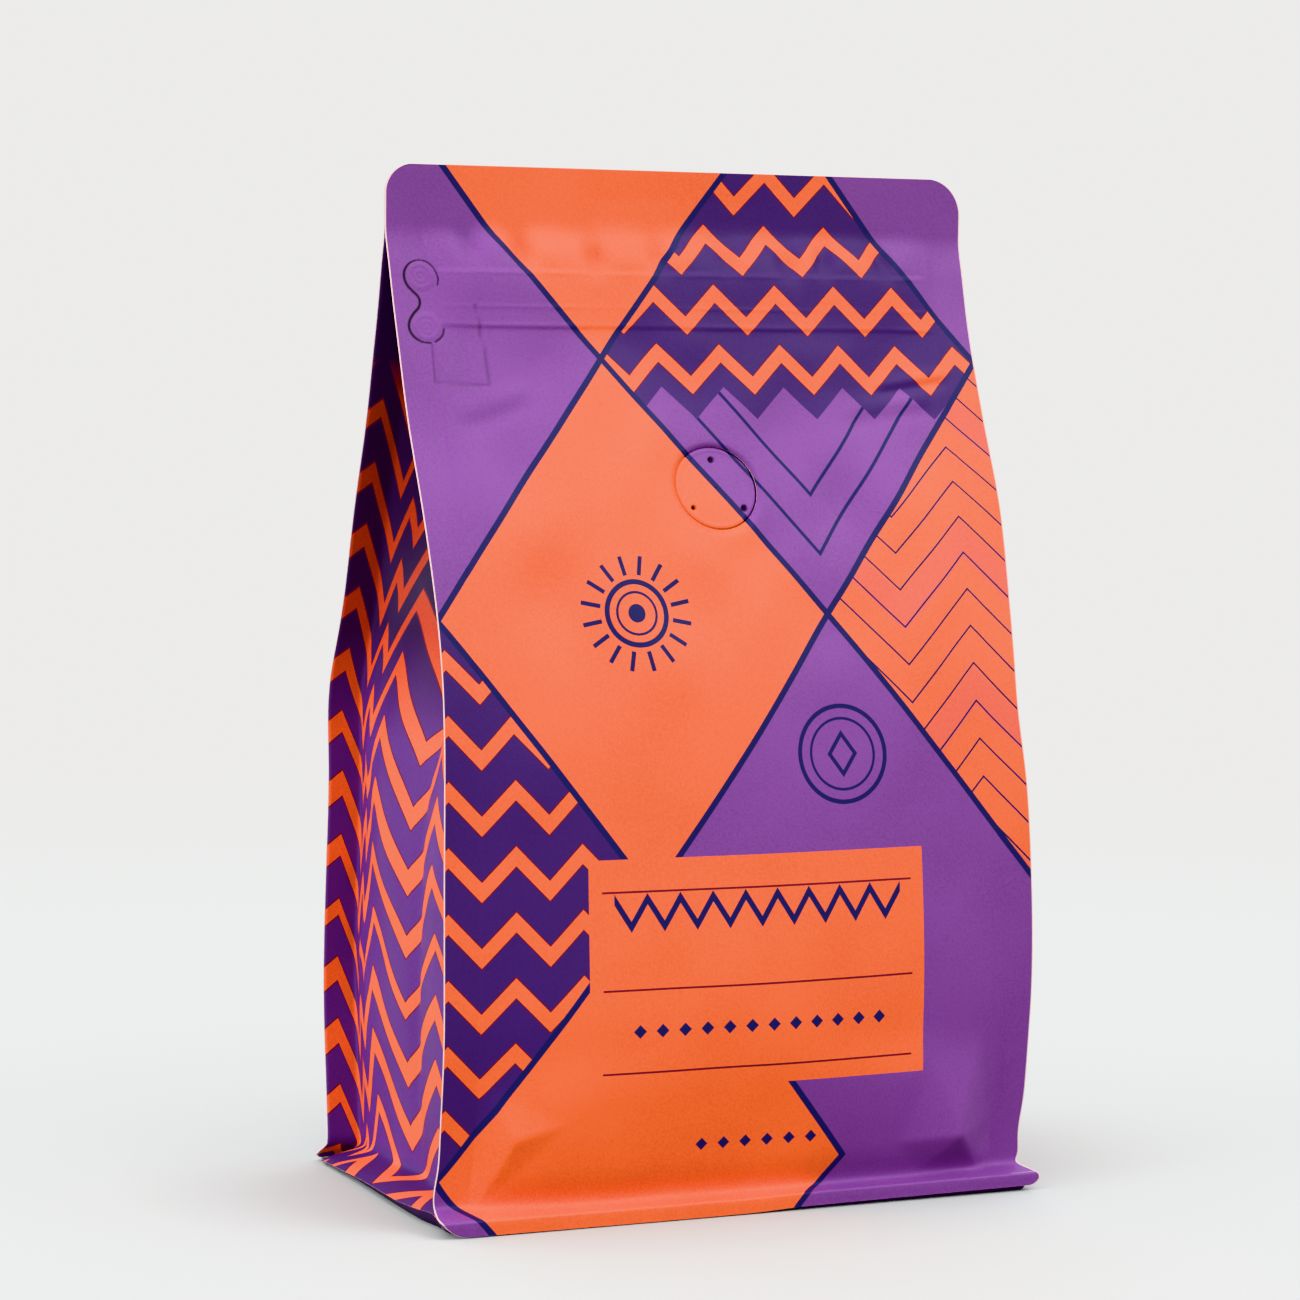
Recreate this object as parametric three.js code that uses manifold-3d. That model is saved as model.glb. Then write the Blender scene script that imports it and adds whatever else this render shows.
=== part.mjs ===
// A flat-bottom coffee bag of about 500 g, standing: front and back panels, two folded side
// gussets, four corner fins, a flat seal along the top, a base panel with a flared foot, and the
// round degassing valve set in the front. Millimetres, +Z up, the front faces -Y, and the origin
// is the middle of the base on the floor.

import * as THREE from 'three';
import * as BufferGeometryUtils from 'three/addons/utils/BufferGeometryUtils.js';
import Module from 'manifold-3d';

const wasm = await Module();
wasm.setup();

// Driving sizes.
const WIDTH = 140;            // front panel with its corner fins
const HEIGHT = 228;           // standing height
const FOOT_WIDTH = 142.2;     // over the flared foot, side to side
const FOOT_DEPTH = 86.6;      // over the flared foot, front to back
const FOOT_CORNER = 6.5;      // corner radius of the foot, seen from above

const FIN = 8;                // width of each corner fin
const FIN_THICK = 1.2;        // two sealed films, drawn thicker than film so that the fin is a solid
const TOP_SEAL = 14;          // height of the flat seal along the top
const TOP_THICK = 1.8;        // its thickness: four films
const TOP_CORNER = 7;         // its corner radius, seen from the front

const FOOT_EDGE = 0.9;        // height of the foot's upper edge over the floor
const FOOT_LIFT = 0.35;       // height of its lower edge
const FOOT_SOLE = 5;          // how far inside the foot's edge the flat sole begins

const ZIPPER_HEIGHTS = [193, 205];  // the two ribs of the press-to-close zipper
const ZIPPER_RISE = 0.4;            // how far a rib stands out
const ZIPPER_REACH = 2.2;           // half the height of a rib

// Half the depth of the bag at the fins, by height: [height, half depth].
const HALF_DEPTH = [
  [0, 37], [20, 39], [48, 41.2], [90, 39.3], [112, 36.2],
  [131, 31.2], [152, 23.8], [173, 14.2], [194, 6.4], [206, 2.7], [214, 0.95], [HEIGHT, 0.9],
];
// Half the width at the fins, by height.
const HALF_WIDTH = [
  [0, 70], [50, WIDTH / 2], [90, 69.4], [125, 68.6], [155, 69], [190, 69.6], [214, 70], [HEIGHT, 70],
];
// How far the middle of the front and back panels swells past the fins, by height.
const PANEL_SWELL = [
  [0, 0.4], [20, 1.8], [48, 3], [90, 2], [125, 0.8], [150, 0.3], [175, 0.8], [194, 1.4], [206, 0.9],
  [214, 0.05], [HEIGHT, 0],
];
// How far the middle fold of each gusset is drawn in towards the middle of the bag, by height.
const GUSSET_FOLD = [
  [0, 0.6], [60, 0.6], [88, 1.5], [104, 6], [118, 15], [133, 26.5], [152, 34], [173, 39], [HEIGHT, 41.3],
];
// How far each half gusset swells outwards between its fold and its fin, by height.
const GUSSET_SWELL = [[0, 0.4], [40, 1.6], [80, 2.2], [105, 3], [125, 3.4], [150, 2], [180, 0.5], [HEIGHT, 0]];
// The flare above the foot: [height, share of the way from the upright wall to the foot's edge].
const FLARE = [[9, 0.03], [6.2, 0.2], [4.8, 0.56], [3.4, 0.86], [FOOT_EDGE, 1]];

// Steps of the mesh.
const PANEL_STEPS = 9;        // across half a panel
const GUSSET_STEPS = 7;       // across half a gusset
const FOOT_ARC_STEPS = 3;     // round a corner of the foot, as many as a fin has faces
const LEVEL_STEP = 7;         // between levels up the bag

// The valve: a round disc welded behind the film, which shows as a round plate with three vents.
const VALVE_RADIUS = 9.75;
const VALVE_THICK = 1.5;
const VALVE_PROUD = 0.1;      // how far it stands out of the panel
const VALVE_GAP = 0.3;        // all round it, and under it
const VALVE_HEIGHT = 158;     // of its middle
const VALVE_EDGE = 0.25;      // its rounded edge
const VALVE_SIDES = 40;
const VENT_RADIUS = 0.75;
const VENT_RING = 7.4;        // distance of the vents from the middle
const VENT_ANGLES = [88, 219, 321];  // degrees, from the right, seen from the front
const VENT_SIDES = 10;

const FILM_LOOK = { color: 0xf2632f, roughness: 0.62, metalness: 0 };
const VALVE_LOOK = { color: 0x8446a0, roughness: 0.55, metalness: 0 };

// Value at height z of a smooth curve through the stations.
function smoothAlong(stations, z) {
  const last = stations.length - 1;
  if (z <= stations[0][0]) return stations[0][1];
  if (z >= stations[last][0]) return stations[last][1];
  const k = stations.findIndex(([height]) => height > z) - 1;
  const slope = (i) => {
    const [z0, v0] = stations[Math.max(i - 1, 0)];
    const [z1, v1] = stations[Math.min(i + 1, last)];
    return (v1 - v0) / (z1 - z0);
  };
  const [z0, v0] = stations[k];
  const [z1, v1] = stations[k + 1];
  const t = (z - z0) / (z1 - z0);
  const start = (1 + 2 * t) * (1 - t) ** 2 * v0 + t * (1 - t) ** 2 * (z1 - z0) * slope(k);
  const end = t * t * (3 - 2 * t) * v1 - t * t * (1 - t) * (z1 - z0) * slope(k + 1);
  return start + end;
}

// How far the zipper's ribs lift the panel at height z.
function zipperLift(z) {
  return ZIPPER_HEIGHTS.reduce((sum, rib) => {
    const near = Math.max(0, 1 - Math.abs(z - rib) / ZIPPER_REACH);
    return sum + ZIPPER_RISE * near;
  }, 0);
}

// Distance of the front panel from the middle plane, at height z and at the share s of the way
// from its middle to the fin.
function panelDepth(z, s) {
  const swell = smoothAlong(PANEL_SWELL, z) * (1 - s * s);
  const lift = zipperLift(z) * (s < 1 ? 1 : 0);
  return smoothAlong(HALF_DEPTH, z) + swell + lift;
}

// The right front quarter of the bag's section at height z, from the middle of the front panel
// round the fin to the middle fold of the gusset.
function quarterSection(z) {
  const depth = smoothAlong(HALF_DEPTH, z);
  const tip = smoothAlong(HALF_WIDTH, z);
  const root = tip - FIN;
  const inner = depth - Math.min(FIN_THICK, depth * 0.6);
  const fold = smoothAlong(GUSSET_FOLD, z);
  const swell = smoothAlong(GUSSET_SWELL, z);
  const points = [];
  for (let i = 0; i <= PANEL_STEPS; i++) {
    const s = i / PANEL_STEPS;
    points.push(new THREE.Vector2(root * s, -panelDepth(z, s)));
  }
  points.push(new THREE.Vector2(tip, -depth));
  points.push(new THREE.Vector2(tip, -inner));
  for (let i = 0; i <= GUSSET_STEPS; i++) {
    const s = i / GUSSET_STEPS;
    const x = root - fold * s + swell * Math.sin(Math.PI * s);
    points.push(new THREE.Vector2(x, -inner * (1 - s)));
  }
  return points;
}

// The right front quarter of the foot's outline seen from above, with the same count of points.
// inset moves it inwards.
function quarterFoot(inset) {
  const x = FOOT_WIDTH / 2 - inset;
  const y = FOOT_DEPTH / 2 - inset;
  const points = [];
  for (let i = 0; i <= PANEL_STEPS; i++) {
    points.push(new THREE.Vector2((x - FOOT_CORNER) * (i / PANEL_STEPS), -y));
  }
  for (let i = 1; i < FOOT_ARC_STEPS; i++) {
    const angle = (Math.PI / 2) * (i / FOOT_ARC_STEPS);
    const across = x - FOOT_CORNER + FOOT_CORNER * Math.sin(angle);
    points.push(new THREE.Vector2(across, -y + FOOT_CORNER - FOOT_CORNER * Math.cos(angle)));
  }
  for (let i = 0; i <= GUSSET_STEPS; i++) {
    points.push(new THREE.Vector2(x, -(y - FOOT_CORNER) * (1 - i / GUSSET_STEPS)));
  }
  return points;
}

// The whole ring at height z from its right front quarter: four mirrored quarters, anticlockwise.
function ringOf(quarter, z) {
  const inner = quarter.slice(1, -1);
  const backwards = [...inner].reverse();
  const flip = (points, sx, sy) => points.map((p) => new THREE.Vector2(p.x * sx, p.y * sy));
  const loop = [
    quarter[0], ...inner, quarter.at(-1),
    ...flip(backwards, 1, -1), ...flip([quarter[0]], 1, -1), ...flip(inner, -1, -1),
    ...flip([quarter.at(-1)], -1, -1), ...flip(backwards, -1, 1),
  ];
  return loop.map((p) => new THREE.Vector3(p.x, p.y, z));
}

// Rings of the bag from the sole to where the top seal begins.
function bagRings() {
  const rings = [ringOf(quarterFoot(FOOT_SOLE), 0), ringOf(quarterFoot(0), FOOT_LIFT)];
  const foot = quarterFoot(0);
  for (const [z, share] of [...FLARE].reverse()) {
    const section = quarterSection(z);
    rings.push(ringOf(section.map((p, i) => p.clone().lerp(foot[i], share)), z));
  }
  const sealStart = HEIGHT - TOP_SEAL;
  const lowest = FLARE[0][0];
  const count = Math.round((sealStart - lowest) / LEVEL_STEP);
  const levels = Array.from({ length: count }, (_, i) => lowest + (sealStart - lowest) * ((i + 1) / count));
  const ribs = ZIPPER_HEIGHTS.flatMap((rib) => [rib - ZIPPER_REACH, rib, rib + ZIPPER_REACH]);
  const clear = levels.filter((z) => ribs.every((rib) => Math.abs(rib - z) > ZIPPER_REACH));
  for (const z of [...clear, ...ribs].sort((a, b) => a - b)) rings.push(ringOf(quarterSection(z), z));
  return rings;
}

// A closed solid through the rings, with a flat cap at each end.
function loft(rings) {
  const size = rings[0].length;
  const positions = rings.flat().flatMap((p) => p.toArray());
  const index = [];
  for (let r = 0; r + 1 < rings.length; r++) {
    for (let i = 0; i < size; i++) {
      const a = r * size + i;
      const b = r * size + ((i + 1) % size);
      index.push(a, b, b + size, a, b + size, a + size);
    }
  }
  const cap = (ring, upwards) => {
    const outline = rings[ring].map((p) => new THREE.Vector2(p.x, p.y));
    for (const [a, b, c] of THREE.ShapeUtils.triangulateShape(outline, [])) {
      const corners = upwards ? [a, b, c] : [c, b, a];
      index.push(...corners.map((corner) => ring * size + corner));
    }
  };
  cap(0, false);
  cap(rings.length - 1, true);
  const geometry = new THREE.BufferGeometry();
  geometry.setAttribute('position', new THREE.Float32BufferAttribute(positions, 3));
  geometry.setIndex(index);
  return geometry;
}

// The flat seal along the top, a plate with two rounded upper corners.
function topSeal() {
  const x = WIDTH / 2;
  const low = HEIGHT - TOP_SEAL - 1;
  const shape = new THREE.Shape();
  shape.moveTo(-x, low);
  shape.lineTo(x, low);
  shape.lineTo(x, HEIGHT - TOP_CORNER);
  shape.absarc(x - TOP_CORNER, HEIGHT - TOP_CORNER, TOP_CORNER, 0, Math.PI / 2, false);
  shape.lineTo(-x + TOP_CORNER, HEIGHT);
  shape.absarc(-x + TOP_CORNER, HEIGHT - TOP_CORNER, TOP_CORNER, Math.PI / 2, Math.PI, false);
  const plate = new THREE.ExtrudeGeometry(shape, { depth: TOP_THICK, bevelEnabled: false, curveSegments: 6 });
  plate.translate(0, 0, -TOP_THICK / 2);
  plate.rotateX(Math.PI / 2);
  return plate;
}

// Where the valve sits: its middle on the front panel, and how far the panel leans back there.
function valvePlace() {
  const depth = panelDepth(VALVE_HEIGHT, 0);
  const rise = panelDepth(VALVE_HEIGHT + VALVE_RADIUS, 0) - panelDepth(VALVE_HEIGHT - VALVE_RADIUS, 0);
  const lean = Math.atan2(-rise, 2 * VALVE_RADIUS);
  return { middle: new THREE.Vector3(0, -depth, VALVE_HEIGHT), lean };
}

// The valve's disc about its own middle: it lies in XZ, faces -Y, and stands VALVE_PROUD out.
function valveDisc() {
  const disc = new THREE.Shape();
  disc.absarc(0, 0, VALVE_RADIUS - VALVE_EDGE, 0, 2 * Math.PI, false);
  for (const degrees of VENT_ANGLES) {
    const angle = THREE.MathUtils.degToRad(degrees);
    const vent = new THREE.Path();
    const x = VENT_RING * Math.cos(angle);
    const y = VENT_RING * Math.sin(angle);
    vent.setFromPoints(Array.from({ length: VENT_SIDES }, (_, i) => {
      const turn = (2 * Math.PI * i) / VENT_SIDES;
      return new THREE.Vector2(x + VENT_RADIUS * Math.cos(turn), y + VENT_RADIUS * Math.sin(turn));
    }));
    disc.holes.push(vent);
  }
  const geometry = new THREE.ExtrudeGeometry(disc, {
    depth: VALVE_THICK - 2 * VALVE_EDGE,
    bevelThickness: VALVE_EDGE,
    bevelSize: VALVE_EDGE,
    bevelSegments: 1,
    curveSegments: VALVE_SIDES,
  });
  geometry.translate(0, 0, VALVE_EDGE - VALVE_THICK + VALVE_PROUD);
  geometry.rotateX(Math.PI / 2);
  return geometry;
}

// The round pocket that the valve sits in, as the solid to cut away.
function valvePocket() {
  const radius = VALVE_RADIUS + VALVE_GAP;
  const floor = VALVE_THICK - VALVE_PROUD + VALVE_GAP;
  const open = 4;             // the cutter reaches this far out of the panel
  const pocket = new THREE.CylinderGeometry(radius, radius, floor + open, VALVE_SIDES);
  pocket.translate(0, (floor - open) / 2, 0);
  return pocket;
}

// The geometry turned to the lean of the front panel and moved to the valve's place.
function onFront(geometry) {
  const { middle, lean } = valvePlace();
  geometry.rotateX(-lean);
  geometry.translate(middle.x, middle.y, middle.z);
  return geometry;
}

// A closed geometry as a solid for cutting and joining, and back.
function toSolid(geometry) {
  const bare = geometry.clone();
  bare.deleteAttribute('normal');
  bare.deleteAttribute('uv');
  const merged = BufferGeometryUtils.mergeVertices(bare, 1e-4);
  const vertProperties = new Float32Array(merged.attributes.position.array);
  const triVerts = new Uint32Array(merged.index.array);
  return new wasm.Manifold(new wasm.Mesh({ numProp: 3, vertProperties, triVerts }));
}

function toGeometry(solid) {
  const { vertProperties, triVerts } = solid.getMesh();
  const geometry = new THREE.BufferGeometry();
  geometry.setAttribute('position', new THREE.BufferAttribute(vertProperties, 3));
  geometry.setIndex(new THREE.BufferAttribute(triVerts, 1));
  geometry.computeVertexNormals();
  return geometry;
}

function namedMesh(name, geometry, look) {
  const mesh = new THREE.Mesh(geometry, new THREE.MeshStandardMaterial(look));
  mesh.name = name;
  return mesh;
}

function pouch() {
  const body = toSolid(loft(bagRings())).add(toSolid(topSeal()));
  const cut = body.subtract(toSolid(onFront(valvePocket())));
  return namedMesh('pouch', toGeometry(cut), FILM_LOOK);
}

function valve() {
  return namedMesh('valve', onFront(valveDisc()), VALVE_LOOK);
}

const bag = new THREE.Group();
bag.name = 'coffee_bag';
bag.add(pouch(), valve());

export default bag;
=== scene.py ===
# %% [markdown]
# # A flat-bottom coffee bag, dressed in printed film
#
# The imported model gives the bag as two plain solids: the pouch and the round valve in its front.
# This lesson keeps their size and dresses them. Each film of the real bag becomes its own thin
# sheet: the front, the back, the two side gussets and the base. The sheets keep close to the
# solid's heights and depths, with far finer steps, so that creases, puckers and cut edges can be
# real shape. The print is worked out by shader nodes from each sheet's flat pattern.

# %% Load the frame
import math

import bpy
import numpy as np
from mathutils import Matrix, Vector


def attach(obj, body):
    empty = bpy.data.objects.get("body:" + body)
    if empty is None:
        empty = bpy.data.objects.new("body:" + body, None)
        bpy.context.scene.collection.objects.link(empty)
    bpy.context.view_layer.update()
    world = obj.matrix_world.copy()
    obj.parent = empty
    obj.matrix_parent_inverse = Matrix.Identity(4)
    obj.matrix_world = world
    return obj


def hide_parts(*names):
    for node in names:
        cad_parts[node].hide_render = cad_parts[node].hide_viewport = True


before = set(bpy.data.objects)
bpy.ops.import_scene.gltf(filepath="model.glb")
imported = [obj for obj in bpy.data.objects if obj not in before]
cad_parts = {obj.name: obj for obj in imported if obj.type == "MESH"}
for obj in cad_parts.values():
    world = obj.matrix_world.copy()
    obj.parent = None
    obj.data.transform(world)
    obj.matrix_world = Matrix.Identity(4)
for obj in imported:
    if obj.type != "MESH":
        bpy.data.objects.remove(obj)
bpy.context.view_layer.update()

# %% [markdown]
# The camera comes first, because every later choice is judged through it. A bag is photographed
# with a longish lens from a little above its middle, so its upright edges stay nearly upright.
# The camera stands off to the bag's left and looks slightly down. It also leans a fraction of a
# degree, as the picture does. All of it is worked out from three angles and one place.

# %% Camera
MM = 0.001
CAMERA_PLACE = Vector((-338.9, -787.7, 187.3)) * MM
CAMERA_TURN = math.radians(22.89)   # away from straight at the front, towards the bag's left side
CAMERA_DROP = math.radians(4.46)    # below level
CAMERA_LEAN = math.radians(0.60)
LENS_MM = 105.2                     # on a sensor 36 mm wide


def added(name, data):
    """A new object in the scene that shows the data."""
    thing = bpy.data.objects.new(name, data)
    bpy.context.scene.collection.objects.link(thing)
    return thing


def aim_camera():
    """Places the camera by its turn, drop and lean."""
    forward = Vector((math.sin(CAMERA_TURN) * math.cos(CAMERA_DROP),
                      math.cos(CAMERA_TURN) * math.cos(CAMERA_DROP), -math.sin(CAMERA_DROP)))
    level = Vector((math.cos(CAMERA_TURN), -math.sin(CAMERA_TURN), 0))
    upward = level.cross(forward)
    right = level * math.cos(CAMERA_LEAN) + upward * math.sin(CAMERA_LEAN)
    up = upward * math.cos(CAMERA_LEAN) - level * math.sin(CAMERA_LEAN)
    data = bpy.data.cameras.new("camera")
    data.lens = LENS_MM
    data.sensor_width = 36
    data.clip_start = 0.01
    camera = added("camera", data)
    turn = Matrix((right, up, -forward)).transposed()
    camera.matrix_world = Matrix.Translation(CAMERA_PLACE) @ turn.to_4x4()
    bpy.context.scene.camera = camera
    return camera


camera = aim_camera()
print("camera", round(camera.location.length, 3), "m from the middle of the base")

# %% [markdown]
# Shader maths reads best as plain arithmetic. `Value` wraps one socket, and `a * b + 1` on two of
# them adds the Math nodes. `Finish` makes one material and gives one method for every other kind
# of node. Numbers alone stay in Python, and only what changes over the surface becomes nodes.

# %% Shader helpers
class Value:
    """A socket that takes part in arithmetic."""

    def __init__(self, finish, socket):
        self.finish = finish
        self.socket = socket

    def __add__(self, other):
        return self.finish.math("ADD", self, other)

    def __radd__(self, other):
        return self.finish.math("ADD", other, self)

    def __sub__(self, other):
        return self.finish.math("SUBTRACT", self, other)

    def __rsub__(self, other):
        return self.finish.math("SUBTRACT", other, self)

    def __mul__(self, other):
        return self.finish.math("MULTIPLY", self, other)

    def __rmul__(self, other):
        return self.finish.math("MULTIPLY", other, self)

    def __neg__(self):
        return self.finish.math("MULTIPLY", self, -1)

    def __abs__(self):
        return self.finish.math("ABSOLUTE", self)


class Finish:
    """One material, built node by node."""

    def __init__(self, name):
        self.material = bpy.data.materials.new(name)
        self.material.use_nodes = True
        self.tree = self.material.node_tree
        self.tree.nodes.clear()

    def node(self, kind, settings=None, inputs=None):
        """A node of any kind: its settings first, then the values or links of its sockets."""
        made = self.tree.nodes.new(kind)
        for key, value in (settings or {}).items():
            setattr(made, key, value)
        for key, value in (inputs or {}).items():
            if isinstance(value, Value):
                self.tree.links.new(value.socket, made.inputs[key])
            else:
                made.inputs[key].default_value = value
        return made

    def value(self, kind, settings=None, inputs=None, output=0):
        return Value(self, self.node(kind, settings, inputs).outputs[output])

    def math(self, operation, *terms):
        return self.value("ShaderNodeMath", {"operation": operation}, dict(enumerate(terms)))

    def clamp(self, value):
        settings = {"operation": "ADD", "use_clamp": True}
        return self.value("ShaderNodeMath", settings, {0: value, 1: 0.0})

    def larger(self, first, *others):
        for other in others:
            first = self.math("MAXIMUM", first, other)
        return first

    def mix(self, share, under, over):
        """The colour under, with the colour over laid on it by share."""
        settings = {"data_type": "RGBA"}
        return self.value("ShaderNodeMix", settings, {0: share, 6: under, 7: over}, output=2)

    def own_place(self):
        """Where a point lies in the object's own coordinates, in metres."""
        return self.value("ShaderNodeTexCoord", output="Object")

    def film(self):
        """The flat pattern's millimetres across and up the film, and its share of painted shade."""
        place = self.value("ShaderNodeAttribute", {"attribute_name": FILM}, output=1)
        split = self.node("ShaderNodeSeparateXYZ", inputs={0: place})
        return [Value(self, socket) for socket in split.outputs]

    def noise(self, scale, detail, roughness=0.5):
        """Noise of even size over the object."""
        return self.value("ShaderNodeTexNoise", inputs={
            "Vector": self.own_place(), "Scale": scale, "Detail": detail, "Roughness": roughness})

    def ended(self, shader, inputs):
        """The material, ended with a shader node of the given kind."""
        self.node("ShaderNodeOutputMaterial", inputs={0: self.value(shader, inputs=inputs)})
        return self.material


FILM = "film"

# %% [markdown]
# The studio is one seamless pale bowl, floor and backdrop in one curved sheet, so no horizon
# shows from any side. It could be a flat plane and a grey world, but then the floor would end in
# a line behind the bag. Near the bag the paper only reflects light, so that it takes the bag's
# shadow. Further out it glows evenly, and its diffuse light is kept off the bag. It is stage, not
# part of the object.

# %% Studio bowl
BOWL_FLOOR = 1.9      # metres, radius of the flat floor
BOWL_SWEEP = 1.3      # radius of the curve up into the wall
BOWL_HEIGHT = 3.4
BOWL_SIDES = 96
GLOW_REACH = (0.22, 0.85)     # metres from the bag, from no glow to full glow
PAPER = (0.435, 0.45, 0.45, 1)
GLOW = (0.937, 0.93, 0.915, 1)


def studio_bowl():
    """A floor that sweeps up into a round wall."""
    arc = [(BOWL_FLOOR + BOWL_SWEEP * math.sin(a), BOWL_SWEEP - BOWL_SWEEP * math.cos(a))
           for a in np.linspace(0, math.pi / 2, 24)]
    outline = [(0.02, 0.0), (0.5, 0.0), (1.0, 0.0), (1.5, 0.0)] + arc
    outline.append((BOWL_FLOOR + BOWL_SWEEP, BOWL_HEIGHT))
    turns = [2 * math.pi * i / BOWL_SIDES for i in range(BOWL_SIDES)]
    points = [(r * math.cos(turn), r * math.sin(turn), z) for r, z in outline for turn in turns]
    faces = []
    for start in range(0, (len(outline) - 1) * BOWL_SIDES, BOWL_SIDES):
        for i in range(BOWL_SIDES):
            near, far = start + i, start + (i + 1) % BOWL_SIDES
            faces.append((near, near + BOWL_SIDES, far + BOWL_SIDES, far))
    mesh = bpy.data.meshes.new("studio_bowl")
    mesh.from_pydata(points, [], faces)
    mesh.shade_smooth()
    bowl = added("studio_bowl", mesh)
    paper = Finish("studio_paper")
    away = paper.value("ShaderNodeVectorMath", {"operation": "LENGTH"},
                       {0: paper.own_place()}, output=1)
    far = paper.value("ShaderNodeMapRange", {"interpolation_type": "SMOOTHSTEP"}, {
        "Value": away, "From Min": GLOW_REACH[0], "From Max": GLOW_REACH[1]})
    matte = paper.value("ShaderNodeBsdfDiffuse", inputs={"Color": PAPER})
    glow = paper.value("ShaderNodeEmission", inputs={"Color": GLOW})
    mesh.materials.append(paper.ended("ShaderNodeMixShader", {0: far, 1: matte, 2: glow}))
    bowl.visible_diffuse = False
    return bowl


bowl = studio_bowl()
print("bowl of", len(bowl.data.polygons), "faces")

# %% [markdown]
# The light is that of a pale room. The world is bright overhead and fades away below the
# horizon, so film that leans back is light and film that leans forward is darker. That is what
# makes the swelling panel and its folds read. One soft box high at the right and one low at the
# left give it a direction. Boxes alone would throw marked shadows, and a world of one tone would
# leave the film flat. The view transform is a neutral one that rolls bright inks off softly,
# because a plain one would clip the orange.

# %% Lights
WORLD_LIGHT = (0.0, 2.2)      # strength from below and from overhead
WORLD_BAND = (-0.3, 0.3)      # the upward part of a direction over which it changes
WORLD_TINT = (1, 1, 0.99, 1)
# Place and side length in metres, and watts.
SOFT_BOXES = {"key": ((0.75, -0.95, 1.35), 0.9, 9), "left_fill": ((-1.5, -0.15, 0.35), 0.7, 15)}
LIT_PLACE = Vector((0, 0, 0.1))


def soft_box(name, place, side, watts):
    """A square area light that looks at the middle of the bag."""
    data = bpy.data.lights.new(name, "AREA")
    data.shape = "RECTANGLE"
    data.size = side
    data.size_y = side
    data.energy = watts
    lamp = added(name, data)
    lamp.location = place
    aim = LIT_PLACE - Vector(place)
    lamp.rotation_euler = aim.to_track_quat("-Z", "Y").to_euler()


def studio_light():
    """The world, brighter upwards, and the soft boxes."""
    world = bpy.data.worlds.new("studio_world")
    bpy.context.scene.world = world
    world.use_nodes = True
    nodes, links = world.node_tree.nodes, world.node_tree.links
    split = nodes.new("ShaderNodeSeparateXYZ")
    links.new(nodes.new("ShaderNodeTexCoord").outputs["Generated"], split.inputs[0])
    upward = nodes.new("ShaderNodeMapRange")
    limits = zip(("From Min", "From Max", "To Min", "To Max"), WORLD_BAND + WORLD_LIGHT)
    for key, value in limits:
        upward.inputs[key].default_value = value
    links.new(split.outputs["Z"], upward.inputs["Value"])
    sky = nodes["Background"]
    sky.inputs["Color"].default_value = WORLD_TINT
    links.new(upward.outputs[0], sky.inputs["Strength"])
    for name, (place, side, watts) in SOFT_BOXES.items():
        soft_box(name, place, side, watts)


studio_light()
bpy.context.scene.view_settings.view_transform = "Khronos PBR Neutral"
print("lights:", ", ".join(SOFT_BOXES), "and the world")

# %% [markdown]
# Now the bag's form. A pouch like this has nearly the same form in front and behind, and left and
# right. A few curves up its height tell it: half its depth and half its width at the corner fins,
# how far the panels swell with the beans, and how far the gussets fold in. Each curve is a smooth
# line through a few stations, close to the ones that the solid uses, in millimetres. The foot has
# more of them, because its edge was never pressed flat: it flares, bows and stands off the floor.

# %% Driving sizes
WIDTH = 140.0
HEIGHT = 228.0
FOOT_HALF_WIDTH = 71.1
FOOT_HALF_DEPTH = 43.3
FIN = 8.0            # width of a corner fin
FILM_THICK = 0.2     # of one film, a little over the real thickness, so that cut edges show
SEAL_HALF = 2 * FILM_THICK + 0.02    # half the thickness of the four sealed films

HALF_DEPTH = [(0, 37), (20, 39), (48, 41.2), (90, 39.3), (112, 36.2), (131, 31.2), (152, 23.8),
              (173, 14.2), (194, 6.4), (206, 2.7), (214, SEAL_HALF), (HEIGHT, SEAL_HALF)]
HALF_WIDTH = [(0, 70), (50, 70), (90, 69.4), (125, 68.6), (155, 69), (190, 69.6), (214, 70),
              (HEIGHT, 70)]
PANEL_SWELL = [(0, 3.4), (8, 3.4), (14, 3.9), (22, 4.5), (32, 4.8), (48, 4.4), (90, 2.2),
               (125, 0.8), (150, 0.3), (175, 0.8), (194, 1.6), (204, 2.3), (210, 1.7), (213.5, 0.3),
               (216, 0), (HEIGHT, 0)]
GUSSET_FOLD = [(0, 2.6), (7, 2.2), (24, 0.9), (60, 0.6), (88, 1.5), (104, 6), (118, 15),
               (133, 26.5), (152, 34), (173, 39), (HEIGHT, 41.3)]
GUSSET_SWELL = [(0, 0.4), (40, 1.6), (80, 2.2), (105, 3), (125, 3.4), (150, 2), (180, 0.5),
                (HEIGHT, 0)]
# Share of the way from the upright wall out to the foot's edge, by height.
FLARE = {"front": [(0.3, 1), (3.3, 1), (3.6, 0.95), (3.9, 0.74), (4.3, 0.45), (4.8, 0.2),
                   (5.4, 0.07), (6.3, 0.015), (7.5, 0)],
         "back": [(0.3, 1), (1.2, 0.93), (4.4, 0.12), (6, 0.02), (8, 0)]}
SIDE_FLARE = [(0.3, 1), (1.4, 0.7), (2.8, 0.3), (4.2, 0.07), (6.5, 0)]
# How far the side edge of the foot draws in, by y, for the left side and the right side.
FOOT_SLACK = {-1: [(-43.3, 1), (-38, 2), (-31, 2.1), (-26, 1.2), (-20, 0.8), (-8, 0.6), (16, 0.6),
                   (38, 0.1), (43.3, 0)],
              1: [(-43.3, 0), (-20, 0.6), (0, 0.9), (20, 0.6), (43.3, 0)]}
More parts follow.
